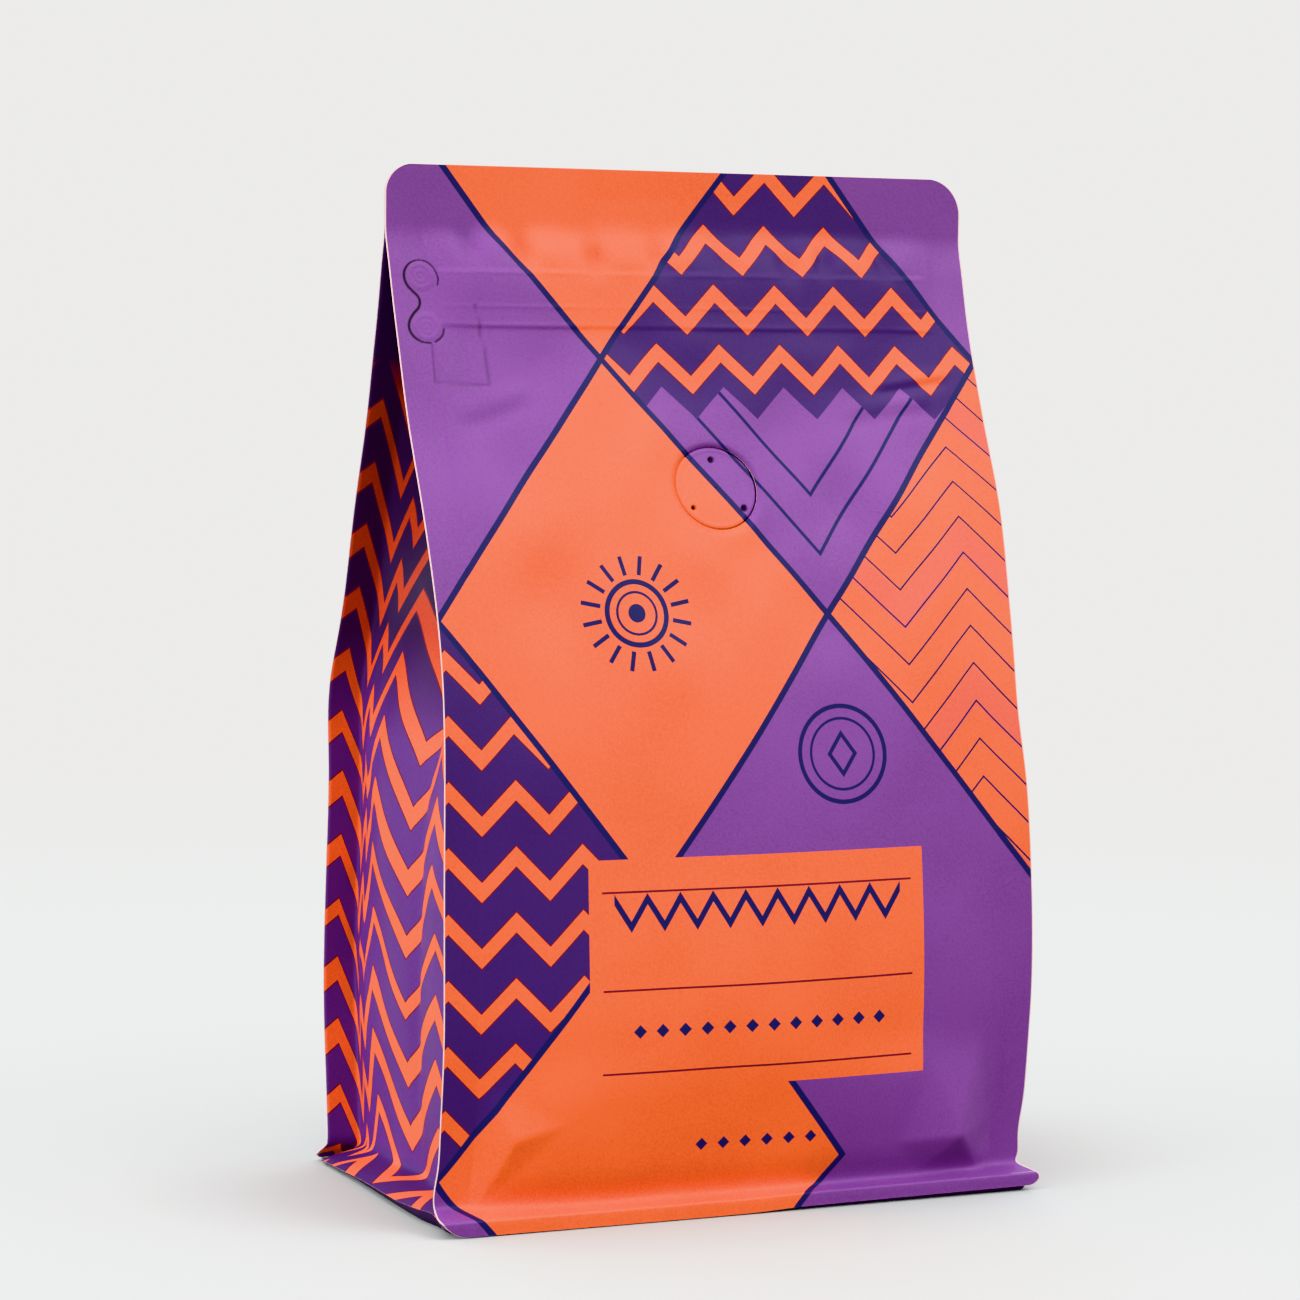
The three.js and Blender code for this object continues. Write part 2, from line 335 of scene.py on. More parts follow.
# How far the foot's edge stands clear of the floor: by y along each side, and by x in front.
SIDE_LIFT = {-1: [(-43.3, 0), (-38, 1.5), (-32, 2.9), (-26, 2.7), (-19, 2.3), (-12, 1.9), (2, 1.7),
                  (16, 1.3), (28, 0.9), (38, 0.6), (43.3, 0.3)],
             1: [(-43.3, 0), (-20, 0.7), (0, 0.9), (20, 0.7), (43.3, 0)]}
FRONT_LIFT = [(-71, 0), (0, 0), (12, 0.45), (40, 0.75), (65, 0.95), (71, 1.0)]
# Radii of the cut films' rounded corners, for the bag's left side (-1) and right side (1).
TOP_CORNER = {-1: 6.2, 1: 8.2}
FRONT_FOOT_CORNER = {-1: 6.2, 1: 2.2}
BACK_FOOT_CORNER = {-1: 1.4, 1: 6.5}
# Where a fin's edge bows out or in: (height, reach, millimetres outwards).
EDGE_BOWS = {("front", -1): [(8, 5, 0.9)],
             ("front", 1): [(2.6, 3, 1.2), (5.4, 1.8, -1.2), (13, 6, -0.8), (50, 28, 0.7),
                            (108, 13, -0.8), (155, 24, 0.9)],
             ("back", -1): [(110, 14, 1.4)],
             ("back", 1): [(120, 30, 0.8)]}


def along(stations, z):
    """Values at heights z of a smooth curve through the stations."""
    at = np.array([s[0] for s in stations], float)
    value = np.array([s[1] for s in stations], float)
    slope = np.gradient(value, at)
    slope[1:-1] = (value[2:] - value[:-2]) / (at[2:] - at[:-2])
    z = np.clip(z, at[0], at[-1])
    k = np.clip(np.searchsorted(at, z, side="right") - 1, 0, len(at) - 2)
    span = at[k + 1] - at[k]
    t = (z - at[k]) / span
    start = (1 + 2 * t) * (1 - t) ** 2 * value[k] + t * (1 - t) ** 2 * span * slope[k]
    end = t * t * (3 - 2 * t) * value[k + 1] - t * t * (1 - t) * span * slope[k + 1]
    return start + end


def ease(low, high, x):
    """0 below low, 1 above high, and a smooth step between."""
    t = np.clip((x - low) / (high - low), 0, 1)
    return t * t * (3 - 2 * t)


def between(start, end, share):
    """What lies that share of the way from start to end."""
    return start * (1 - share) + end * share


def hump(x, middle, reach):
    """A soft bump of height 1 at the middle."""
    return np.exp(-((x - middle) / reach) ** 2)


def edge_bow(face, side, z):
    """How far a fin's edge stands out of its straight run, at heights z."""
    return sum((size * hump(z, at, reach) for at, reach, size in EDGE_BOWS[face, side]), 0 * z)


def fin_half_width(face, side, z):
    """Half the bag's width at a fin's edge, flared out to the foot."""
    share = along(FLARE[face], z)
    return between(along(HALF_WIDTH, z), FOOT_HALF_WIDTH, share) + edge_bow(face, side, z)


def foot_lift(x, y, z):
    """How far the foot's rim is raised at a place, fading out upwards."""
    side = np.where(x < 0, along(SIDE_LIFT[-1], y), along(SIDE_LIFT[1], y))
    side = side * ease(52, 66, np.abs(x))
    front = along(FRONT_LIFT, x) * ease(28, 42, -y)
    return (side + front) * (1 - ease(0.6, 7, z))


print("half depth at mid height:", round(float(along(HALF_DEPTH, HEIGHT / 2)), 1), "mm")

# %% [markdown]
# Every film is cut from a flat web, so each sheet is drawn on a flat pattern first: u runs across
# it and v runs up it, both in millimetres. v is the length of film from the foot's cut edge. The
# functions below turn between v and the height z above the floor, and round the cut corners.

# %% The flat pattern
def upright_curve(flare, foot_reach, wall):
    """The film's run from the foot's edge to the top. Returns a function from v to height, and
    the whole length. The run's distance from the middle is wall(z), flared out to foot_reach."""
    low = flare[0][0]
    z = np.concatenate([low + (12 - low) * np.linspace(0, 1, 600) ** 1.5,
                        np.linspace(12, HEIGHT, 2000)[1:]])
    share = along(flare, z)
    out = between(wall(z), foot_reach, share)
    length = np.concatenate([[0], np.cumsum(np.hypot(np.diff(out), np.diff(z)))])
    return (lambda v: np.interp(v, length, z)), length[-1]


def steps(*zones):
    """Places along a line from zones of (start, end, step), each end shared with the next."""
    runs = [np.linspace(a, b, max(2, int(round((b - a) / step)) + 1)) for a, b, step in zones]
    return np.concatenate(runs)


def corner_steps(radius, start, direction):
    """Places that follow a rounded corner evenly, from start in the direction given."""
    return start + direction * radius * (1 - np.cos(np.linspace(0, math.pi / 2, 12)))


def rounded_limit(v, length, half, low_radius, high_radius):
    """Half the film's width at v, where the two corners of its outline are rounded."""
    low = np.clip(low_radius - v, 0, low_radius)
    high = np.clip(high_radius - (length - v), 0, high_radius)
    return (half - (low_radius - np.sqrt(low_radius ** 2 - low ** 2))
            - (high_radius - np.sqrt(high_radius ** 2 - high ** 2)))


def merged(*runs):
    """Several runs of places as one, in order and without repeats."""
    return np.unique(np.round(np.concatenate(runs), 5))


front_height, PANEL_LENGTH = upright_curve(
    FLARE["front"], FOOT_HALF_DEPTH, lambda z: along(HALF_DEPTH, z))
side_height, GUSSET_LENGTH = upright_curve(
    SIDE_FLARE, FOOT_HALF_WIDTH, lambda z: along(HALF_WIDTH, z) - FIN)
print("panel film", round(PANEL_LENGTH, 1), "mm long, gusset film", round(GUSSET_LENGTH, 1), "mm")

# %% [markdown]
# A sheet is a closed thin shell: its outer face, the same face again one film's thickness inside,
# and a narrow rim where the film was cut. It could be a single face with a Solidify modifier, but
# doing it in code keeps the rim as its own faces, for the pale cut edge, and lets a sheet have a
# hole. An attribute carries the flat pattern's u and v, which the print reads. Its third number is
# the share of painted shade in cuts, puckers and vents, and is below 0 where the film is bare of
# ink.

# %% Sheet builder
def outward(grid):
    """Unit normals of a grid of points, out of its front."""
    across = np.gradient(grid, axis=1)
    upward = np.gradient(grid, axis=0)
    normal = np.cross(across, upward)
    return normal / np.maximum(np.linalg.norm(normal, axis=2, keepdims=True), 1e-9)


def film_sheet(name, grid, u, v, dark=None, keep=None, thick=FILM_THICK, wraps=False):
    """A thin closed shell over a grid of points in millimetres, rows upwards and columns to the
    right seen from outside. keep marks the cells that exist. wraps joins the last column to the
    first."""
    rows, columns = grid.shape[:2]
    inner = grid - outward(grid) * thick
    index = np.arange(rows * columns).reshape(rows, columns)
    if wraps:
        index = np.concatenate([index, index[:, :1]], axis=1)
    quads = np.stack([index[:-1, :-1], index[:-1, 1:], index[1:, 1:], index[1:, :-1]], axis=2)
    quads = quads[keep] if keep is not None else quads.reshape(-1, 4)
    edges = np.stack([quads, np.roll(quads, -1, axis=1)], axis=2).reshape(-1, 2)
    _, first, count = np.unique(np.sort(edges, axis=1), axis=0, return_index=True,
                                return_counts=True)
    rim = edges[first[count == 1]]
    below = rows * columns
    rim_quads = np.stack([rim[:, 1], rim[:, 0], rim[:, 0] + below, rim[:, 1] + below], axis=1)
    faces = np.concatenate([quads, quads[:, ::-1] + below, rim_quads])
    points = np.concatenate([grid.reshape(-1, 3), inner.reshape(-1, 3)]) * MM
    dark = np.zeros_like(u) if dark is None else dark
    pattern = np.stack([u, v, dark], axis=-1).reshape(-1, 3)
    pattern = np.concatenate([pattern, pattern])
    used = np.unique(faces)
    fresh = np.full(len(points), -1)
    fresh[used] = np.arange(len(used))
    mesh = bpy.data.meshes.new(name)
    mesh.from_pydata(points[used].tolist(), [], fresh[faces].tolist())
    slot = np.repeat([0, 2, 1], [len(quads), len(quads), len(rim_quads)])
    mesh.polygons.foreach_set("material_index", slot.astype(np.int32))
    mesh.polygons.foreach_set("use_smooth", slot != 1)
    film = mesh.attributes.new(FILM, "FLOAT_VECTOR", "POINT")
    film.data.foreach_set("vector", pattern[used].ravel())
    print(name, len(mesh.polygons), "faces")
    return added(name, mesh)


# %% [markdown]
# Film is never dead flat. Slow, shallow waves run over it where nothing presses it out. They are
# sums of a few long sine waves in seeded random directions, which are cheap, smooth and the same
# on every run.

# %% Slow waves
def slow_waves(u, v, length, seed, count=7):
    """Smooth uneven waves between about -1 and 1, of the given length in millimetres."""
    draw = np.random.default_rng(seed)
    total = np.zeros_like(u)
    for _ in range(count):
        turn = draw.uniform(0, math.pi)
        step = length * draw.uniform(0.75, 1.5)
        phase = draw.uniform(0, 2 * math.pi)
        total += np.sin(2 * math.pi * (u * math.cos(turn) + v * math.sin(turn)) / step + phase)
    return total / math.sqrt(count) * 0.7


# %% [markdown]
# The panels carry most of the detail. Below the flat top seal the film gathers into a row of
# small puckers. Under them the tape of the zipper presses through as a faint band. The beans push
# the lower half out, and just above the foot's crease the film is drawn in again. In both lower
# corners, where panel, gusset and base meet, it is creased into a flat-sided fold. They could be
# sculpted by hand, but as small functions of the place on the film, in millimetres outwards, they
# simply add up.

# %% Panel relief
ZIPPER_HEIGHTS = (193.0, 205.0)
PUCKER_HEIGHT = 208.5
PUCKER_REACH = 3.2           # half a pucker's length up the film
PUCKER_SHADE = 0.09          # share of dark for each millimetre of its depth
# The row of puckers in front: u, height, depth and half width of each.
FRONT_PUCKERS = [(-51.7, 211.6, 1.2, 2.0), (-39.1, 210.2, 2.3, 2.3), (-21.8, 208.8, 2.3, 2.3),
                 (-6.9, 209.5, 1.5, 1.9), (9.7, 208.9, 0.8, 2.0), (24.8, 208.3, 1.6, 2.2),
                 (33.8, 208.9, 1.6, 2.0), (48.5, 208.8, 1.0, 2.2)]
# The folds in the foot's corners: outline and peak, as u and height, and how far out the peak is.
CORNER_FOLDS = [
    ([(-60.9, 4.4), (-61.4, 33), (-42, 23)], (-54, 20), 1.4),
    ([(59.8, 4.2), (61.5, 16), (57, 36), (44, 32), (36, 13), (43, 6)], (52.0, 14.0), 3.3)]
# Creases in the slack film: ends as u and height, half width and depth.
CREASES = [((45, 178.8), (62, 181.5), 1.5, 0.5), ((36, 172), (57, 175), 2.2, 0.4),
           ((-41, 176), (-57, 171), 2.4, 0.4)]


def puckers(u, z, places):
    """A row of short upright dents under the top seal, with soft swellings beside them."""
    total = np.zeros_like(u)
    for middle, height, depth, half in places:
        lean = 0.3 * math.sin(middle)
        total -= depth * hump(u - lean * (z - height), middle, half) * hump(z, height, PUCKER_REACH)
        total += 0.3 * depth * hump(u, middle + 6, 4) * hump(z, height, 4)
    return total


def pucker_shade(u, z, places):
    """A little painted dark in each pucker, which the soft light alone leaves too faint."""
    return sum(PUCKER_SHADE * depth * hump(u, middle, half) * hump(z, height, PUCKER_REACH)
               for middle, height, depth, half in places)


def even_puckers(seed):
    """A plain row of puckers for the back, each a little out of place."""
    draw = np.random.default_rng(seed)
    return [(middle + draw.uniform(-3, 3), PUCKER_HEIGHT + draw.uniform(-2, 1),
             draw.uniform(1, 2.2), draw.uniform(1.8, 2.6)) for middle in np.arange(-52, 56, 14.5)]


def zipper(u, z):
    """The zipper's tape lifts the film in a band, with a weak rib along each of its edges."""
    low, high = ZIPPER_HEIGHTS
    band = ease(low - 0.7, low + 0.7, z) * (1 - ease(high - 0.7, high + 0.7, z))
    uneven = 0.65 + 0.35 * np.sin(u / 9 + 0.6 * np.sin(u / 4))
    ribs = (hump(z, low, 0.6) + hump(z, high, 0.6) + 0.5 * hump(z, low + 4.3, 0.5)) * uneven
    return (0.28 * band + 0.17 * ribs) * (1 - ease(57, 61, np.abs(u)))


def tent(u, z, outline, peak):
    """A faceted rise with crisp ridges: 1 at the peak, down to 0 at each edge of the outline."""
    heights = []
    for (u0, z0), (u1, z1) in zip(outline, outline[1:] + outline[:1]):
        at_peak = (u1 - u0) * (peak[1] - z0) - (z1 - z0) * (peak[0] - u0)
        heights.append(((u1 - u0) * (z - z0) - (z1 - z0) * (u - u0)) / at_peak)
    return np.clip(np.min(heights, axis=0), 0, 1) ** 1.4


def corner_folds(u, z):
    """The flat-sided folds above the foot's corners."""
    return sum(height * tent(u, z, outline, peak) for outline, peak, height in CORNER_FOLDS)


def creases(u, z):
    """Short sunk creases, each a soft groove with a raised lip above it."""
    total = np.zeros_like(u)
    for (u0, z0), (u1, z1), half, depth in CREASES:
        run = math.hypot(u1 - u0, z1 - z0)
        t = ((u - u0) * (u1 - u0) + (z - z0) * (z1 - z0)) / run
        off = ((z - z0) * (u1 - u0) - (u - u0) * (z1 - z0)) / run * math.copysign(1, u1 - u0)
        ends = ease(-3, 3, t) * (1 - ease(run - 3, run + 3, t))
        total += depth * ends * (0.7 * hump(off, half * 1.3, half) - hump(off, 0, half * 0.8))
    return total


def panel_waves(u, v, z, seed):
    """Slow waves, strongest over the slack upper half."""
    slack = ease(95, 140, z) * (1 - ease(186, 198, z))
    calm = 1 - ease(203, 212, z)
    edge = 1 - ease(50, 61, np.abs(u))
    long = slow_waves(u, v, 58, seed)
    short = slow_waves(u, v, 25, seed + 1)
    return edge * calm * ((0.35 + 0.85 * slack) * long + (0.12 + 0.4 * slack) * short)


def foot_tuck(u, z):
    """Just above the foot's crease the panel is drawn in."""
    return -1.1 * hump(z, 5.2, 4.0) * (1 - ease(52, 61, np.abs(u)))


def root_line(u, z):
    """The inner edge of a fin's weld: a faint step in the film, with a broken ridge along it."""
    step = 0.14 * (1 - ease(61.4, 62.4, np.abs(u)))
    broken = 0.5 + 0.5 * np.sin(z / 2.3 + 2 * np.sin(z / 7.1))
    ridge = 0.16 * hump(np.abs(u), 61.2, 0.55) * broken * ease(150, 170, z)
    return (step + ridge) * (1 - ease(209, 213, z))


print(len(FRONT_PUCKERS), "puckers and", len(CREASES), "creases in front")

# %% [markdown]
# The tear tab is a small figure-of-eight in the left fin: two round lobes joined by a neck. A
# curved cut follows its left side, thick where it has opened, and stops short of a small hook.
# The lobes are pressed with faint rings, and a thin pressed line runs round below them. Each line
# is a short chain of places, and the film sinks where a place is near the chain. The cut, the hook
# and the pressed line are also darkened with painted shade.

# %% Tear tab
TAB_CUT = [(-59.5, 201.7), (-59.3, 203.4), (-60.1, 205.5), (-61.6, 206.8), (-63.3, 207.1),
           (-65.2, 206.4), (-66.5, 204.9), (-66.8, 203.2), (-66.3, 201.6), (-65.3, 200.4),
           (-64.2, 199.3), (-63.8, 198.1), (-64.2, 196.8), (-65.5, 195.5), (-66.6, 194.0),
           (-67.0, 192.5), (-66.6, 191.1), (-65.6, 190.0), (-64.2, 189.3), (-62.3, 189.1)]
TAB_HOOK = [(-61.4, 189.3), (-60.4, 189.9), (-59.5, 190.8), (-59.1, 192.0)]
TAB_LOBES = [(-63.1, 203.6), (-62.9, 192.6)]
PRESSED_LINE = [(-62.2, 188.6), (-62.6, 180.5), (-50.0, 180.3), (-50.4, 188.0), (-51.5, 197.5)]


def smooth_chain(places, parts=6):
    """More places along a smooth curve through a few."""
    at = np.arange(len(places), dtype=float)
    fine = np.linspace(0, len(places) - 1, (len(places) - 1) * parts + 1)
    return np.column_stack([along(list(zip(at, [p[axis] for p in places])), fine)
                            for axis in (0, 1)])


def chain_distance(u, z, places):
    """Distance to a chain of places, and how far along the chain the nearest point lies."""
    best = np.full(u.shape, 1e3)
    where = np.zeros(u.shape)
    near = ((u > places[:, 0].min() - 3) & (u < places[:, 0].max() + 3)
            & (z > places[:, 1].min() - 3) & (z < places[:, 1].max() + 3))
    for k, ((u0, z0), (u1, z1)) in enumerate(zip(places[:-1], places[1:])):
        du, dz = u1 - u0, z1 - z0
        t = np.clip(((u[near] - u0) * du + (z[near] - z0) * dz) / (du * du + dz * dz), 0, 1)
        gap = np.hypot(u[near] - u0 - t * du, z[near] - z0 - t * dz)
        closer = gap < best[near]
        best[near] = np.where(closer, gap, best[near])
        where[near] = np.where(closer, (k + t) / (len(places) - 1), where[near])
    return best, where


def tear_tab(u, z):
    """The tab's relief, and its share of painted shade in the cut, the hook and the pressed line."""
    gap, where = chain_distance(u, z, smooth_chain(TAB_CUT))
    open_ = 0.35 + 0.65 * ease(0.18, 0.36, where) * (1 - ease(0.86, 1, where))
    cut = 1 - ease(0.16 * open_, 0.1 + 0.34 * open_, gap)
    hook = 1 - ease(0.08, 0.34, chain_distance(u, z, smooth_chain(TAB_HOOK))[0])
    line = 1 - ease(0.05, 0.42, chain_distance(u, z, np.array(PRESSED_LINE))[0])
    rings = 0
    for middle_u, middle_z in TAB_LOBES:
        radius = np.hypot(u - middle_u, z - middle_z)
        rings = rings + 0.03 * np.cos(radius * 2 * math.pi / 1.2) * (1 - ease(2.4, 3.2, radius))
        rings = rings + 0.12 * (1 - ease(2.6, 3.6, radius))
    relief = -0.17 * np.maximum(cut, hook) + rings - 0.12 * line
    return relief, np.maximum(np.maximum(cut, hook * 0.8), 0.35 * line)


# %% [markdown]
# With the relief in hand, one function places any point of a panel's flat pattern in space. The
# fins lie beyond the crease at each side and stay nearly flat, with a slow sway that the film
# welded behind them shares. Everything inside swells. Nothing may sink into the films behind.

# %% Place a panel's points
PANEL_ROOT = WIDTH / 2 - FIN
VALVE_MIDDLE = (0.0, 158.0)     # u and height
VALVE_RADIUS = 9.85
FACE_TURN = {"front": 1, "back": -1}    # the back is the front turned half round


def fin_sway(face, u, z):
    """Slow sway of the fins, outwards, which both of a fin's films share."""
    grows = ease(56, 69, np.abs(u)) * ease(14, 40, z) * (1 - ease(175, 195, z))
    return 0.45 * grows * np.sin(z / 15 + 1.3 * np.sign(u) + FACE_TURN[face])


def panel_points(u, v, relief, face="front"):
    """Points in space of a panel's outer face, for arrays of u and v."""
    turn = FACE_TURN[face]
    z = front_height(v)
    share = along(FLARE[face], z)
    wide = np.where(u * turn < 0, fin_half_width(face, -1, z), fin_half_width(face, 1, z))
    plain = between(along(HALF_WIDTH, z), FOOT_HALF_WIDTH, share)
    x = u / (WIDTH / 2) * between(plain, wide, ease(30, 66, np.abs(u)))
    depth = along(HALF_DEPTH, z)
    s = np.clip(np.abs(u) / PANEL_ROOT, 0, 1)
    flatness = 2 + 6 * (1 - ease(8, 40, z)) + 4 * ease(190, 204, z)   # boxier near both ends
    swell = along(PANEL_SWELL, z) * (1 - s ** flatness)
    out = depth + (swell + relief(u, v, z)) * (1 - share)
    folded = np.clip((PANEL_ROOT - np.abs(u)) / along(GUSSET_FOLD, z), 0, 1)
    behind = np.clip(depth - SEAL_HALF, 0, None) * (1 - folded)
    films = behind + FILM_THICK + 0.02 + FILM_THICK * (1 - ease(0.9, 1, folded))
    out = between(np.maximum(out, films) + fin_sway(face, u, z), FOOT_HALF_DEPTH, share)
    return np.stack([x * turn, -out * turn, z + foot_lift(x * turn, -out * turn, z)], axis=-1)


def shared_relief(u, z):
    """What both panels have: zipper, corner folds, the tuck above the foot and the weld lines."""
    return zipper(u, z) + corner_folds(u, z) + foot_tuck(u, z) + root_line(u, z)


def front_relief(u, v, z):
    """All that stands out of or dents the front film."""
    ring = np.hypot(u - VALVE_MIDDLE[0], (z - VALVE_MIDDLE[1]) * 1.08) - VALVE_RADIUS
    lip = -0.25 * np.exp(-np.clip(ring, 0, None) / 0.5) * (ring > -1.5)
    slack = (panel_waves(u, v, z, 11) + creases(u, z)) * ease(-1, 9, ring)
    return shared_relief(u, z) + puckers(u, z, FRONT_PUCKERS) + slack + lip + tear_tab(u, z)[0]


def back_relief(u, v, z):
    """The back has its own puckers and waves, and no valve or tab."""
    return shared_relief(u, z) + puckers(u, z, even_puckers(8)) + panel_waves(u, v, z, 31)


# %% [markdown]
# The front sheet needs fine steps only where the detail is fine: at the tear tab, the valve and
# the foot. Its grid lines are therefore set in zones. Round the valve the grid is bent so that a
# square of its lines falls on the valve's circle, which leaves a clean round hole.

# %% Front panel
HOLE = VALVE_RADIUS + 0.06
BARE_EDGE = 0.3      # width of the strip without ink along a cut


def panel_grid(columns, rows, foot_corner, face):
    """Flat places for columns and rows, drawn in where the outline's corners are round."""
    limit = {side: rounded_limit(rows, PANEL_LENGTH, WIDTH / 2, foot_corner[side],
                                 TOP_CORNER[side])[:, None] for side in (-1, 1)}
    share = columns[None, :] / (WIDTH / 2)
    turn = FACE_TURN[face]
    u = np.where(share < 0, share * limit[-turn], share * limit[turn])
    return u, np.repeat(rows[:, None], len(columns), axis=1)


def corner_rows(foot_corner):
    """Rows that follow the rounded corners of both sides, at the foot and at the top."""
    return merged(*[corner_steps(r, 0, 1) for r in foot_corner.values()],
                  *[corner_steps(r, PANEL_LENGTH, -1) for r in TOP_CORNER.values()])


def bend_to_hole(u, v, middle_v):
    """Moves grid lines so that the square round the valve becomes a circle, fading outwards."""
    du, dv = u - VALVE_MIDDLE[0], v - middle_v
    square = np.maximum(np.abs(du), np.abs(dv))
    round_ = np.hypot(du, dv)
    pull = 1 - ease(HOLE, 2.2 * HOLE, square)
    scale = np.where(round_ > 1e-6, square / np.maximum(round_, 1e-6), 1)
    factor = 1 + (scale - 1) * pull
    return VALVE_MIDDLE[0] + du * factor, middle_v + dv * factor


def film_length_to(z):
    """The v at which the panel's film reaches height z."""
    v = np.arange(0, PANEL_LENGTH, 0.02)
    return np.interp(z, front_height(v), v)


def bare_edges(shape):
    """1 along a sheet's four edges, where the ink stops short of the cut."""
    bare = np.zeros(shape)
    bare[0] = bare[-1] = 1
    bare[:, 0] = bare[:, -1] = 1
    return bare


def front_panel():
    """The front film, with the round hole for the valve."""
    low, high = VALVE_V - HOLE, VALVE_V + HOLE
    tab_low, tab_high = film_length_to(178.5), film_length_to(208.5)
    columns = merged(steps((-70, -67.6, 0.6), (-67.6, -58.6, 0.2), (-58.6, -48.8, 0.7),
                           (-48.8, -36, 0.8), (-36, -HOLE, 1.4), (-HOLE, HOLE, HOLE / 10),
                           (HOLE, 36, 1.5), (36, 70, 0.8)),
                     np.array([BARE_EDGE - 70, 70 - BARE_EDGE]))
    rows = merged(corner_rows(FRONT_FOOT_CORNER),
                  steps((0, 12, 0.45), (12, 32, 0.8), (32, low, 2.0), (low, high, HOLE / 10),
                        (high, tab_low, 1.4), (tab_low, film_length_to(188), 0.6),
                        (film_length_to(188), tab_high, 0.22), (tab_high, PANEL_LENGTH, 1.2)),
                  np.array([BARE_EDGE, PANEL_LENGTH - BARE_EDGE]))
    u, v = panel_grid(columns, rows, FRONT_FOOT_CORNER, "front")
    u, v = bend_to_hole(u, v, VALVE_V)
    points = panel_points(u, v, front_relief)
    middle_u = (columns[:-1] + columns[1:]) / 2
    middle_v = (rows[:-1] + rows[1:]) / 2
    in_hole = ((np.abs(middle_v - VALVE_V) < HOLE)[:, None]
               & (np.abs(middle_u - VALVE_MIDDLE[0]) < HOLE)[None, :])
    z = front_height(v)
    # painted shade in the tab's cut and in the puckers, and below 0 where the edges are bare of ink
    dark = tear_tab(u, z)[1] + pucker_shade(u, z, FRONT_PUCKERS) - bare_edges(u.shape)
    return film_sheet("front_panel", points, u, v, dark, ~in_hole)


VALVE_V = film_length_to(VALVE_MIDDLE[1])
front_film = front_panel()

# %% [markdown]
# The back is the same kind of sheet turned half round, with coarser steps and no valve.

# %% Back panel
def back_panel():
    """The back film: a panel's form turned half round the upright axis."""
    columns = merged(steps((-70, -57, 1.0), (-57, 57, 2.0), (57, 70, 1.0)))
    rows = merged(corner_rows(BACK_FOOT_CORNER),
                  steps((0, 8, 0.6), (8, 30, 1.2), (30, 195, 2.2), (195, PANEL_LENGTH, 0.9)))
    u, v = panel_grid(columns, rows, BACK_FOOT_CORNER, "back")
    return film_sheet("back_panel", panel_points(u, v, back_relief, "back"), u, v)


back_film = back_panel()

# %% [markdown]
# A gusset is the narrow side film. Its two edges are welded behind the panels' edges and make the
# corner fins. Between them it stands over the beans, and above them it folds in on its middle
# until it lies flat inside the top seal. Where it is pinched beside a fin, short pleats run up it.
# At the foot it turns out into a ledge. The sheet's section at each height is a run of points
# from one fin, round the fold, to the other, slightly averaged so that no fold is razor sharp.

# %% Gussets
GUSSET_HALF = 41.6           # film from a fin's root to the middle fold
GUSSET_EDGE = GUSSET_HALF + FIN
GUSSET_CORNERS = (7.2, 2.2)  # radii of the foot's corners that the rows follow


def soften(values, reach):
    """Averages along each section, less and less towards its two ends."""
    weights = np.exp(-np.linspace(-2, 2, 2 * reach + 1) ** 2)
    weights /= weights.sum()
    padded = np.concatenate([np.repeat(values[:, :1], reach, axis=1), values,
                             np.repeat(values[:, -1:], reach, axis=1)], axis=1)
    smooth = sum(w * padded[:, i:i + values.shape[1]] for i, w in enumerate(weights))
    fade = np.minimum(np.arange(values.shape[1]), np.arange(values.shape[1])[::-1])
    fade = np.clip(fade / reach, 0, 1)
    return between(values, smooth, fade)


def foot_reach(side, y):
    """How far out the foot's side edge stands at depth y."""
    return FOOT_HALF_WIDTH - along(FOOT_SLACK[side], y)


def film_lap(face, z):
    """How far behind a panel's face the gusset's face lies: two films, measured along y, which on
    the slope above the foot is more than their thickness."""
    def reach(z):
        return between(along(HALF_DEPTH, z), FOOT_HALF_DEPTH, along(FLARE[face], z))
    slope = (reach(z + 0.2) - reach(z - 0.2)) / 0.4
    return 2 * FILM_THICK * np.sqrt(1 + slope ** 2) + 0.02


def half_section(p, z, face, side, seed):
    """Distances out from the middle, sideways and towards a face, of the half of a gusset that
    meets that face. p is 0 at the middle fold and grows to the fin's edge."""
    front_share = along(FLARE[face], z)
    side_share = along(SIDE_FLARE, z)
    lap = film_lap(face, z)
    tip = fin_half_width(face, side, z) - 0.12
    root = tip - FIN + 0.12
    beyond = np.clip((p - GUSSET_HALF) / FIN, 0, 1)
    s = np.clip(1 - p / GUSSET_HALF, 0, 1)
    film_u = side * FACE_TURN[face] * (PANEL_ROOT + beyond * FIN)
    sway = fin_sway(face, film_u, z) * (1 - ease(0, 0.12, s))
    edge = between(along(HALF_DEPTH, z) - lap + sway, FOOT_HALF_DEPTH - lap, front_share)
    middle_root = along(HALF_WIDTH, z) - FIN
    start = root + (middle_root - root) * ease(0, 0.4, s)
    full = 1 - ease(96, 132, z)
    wave = slow_waves(p * 1.5, z, 40, seed) * np.sin(np.pi * s) ** 0.7
    pinched = hump(p, 33, 6) * ease(14, 30, z) * (1 - ease(108, 130, z))
    pleats = np.sin(p * 1.25 + 2.2 * np.sin(z / 9.0) + z / 21) * (0.6 + 0.4 * np.sin(z / 6.3))
    out = start - along(GUSSET_FOLD, z) * s + along(GUSSET_SWELL, z) * np.sin(np.pi * s)
    out = out + full * (0.8 * wave - 0.7 * hump(p, 0, 3) * ease(4, 30, z))
    out = out + (1 - full) * 0.6 * wave * (1 - ease(150, 200, z)) + 0.42 * pleats * pinched
    deep = edge * (1 - s)
    flared = side_share * ease(0.0, 0.1, s)
    out = between(out, foot_reach(side, -FACE_TURN[face] * deep), flared)
    return out + beyond * (tip - root), deep


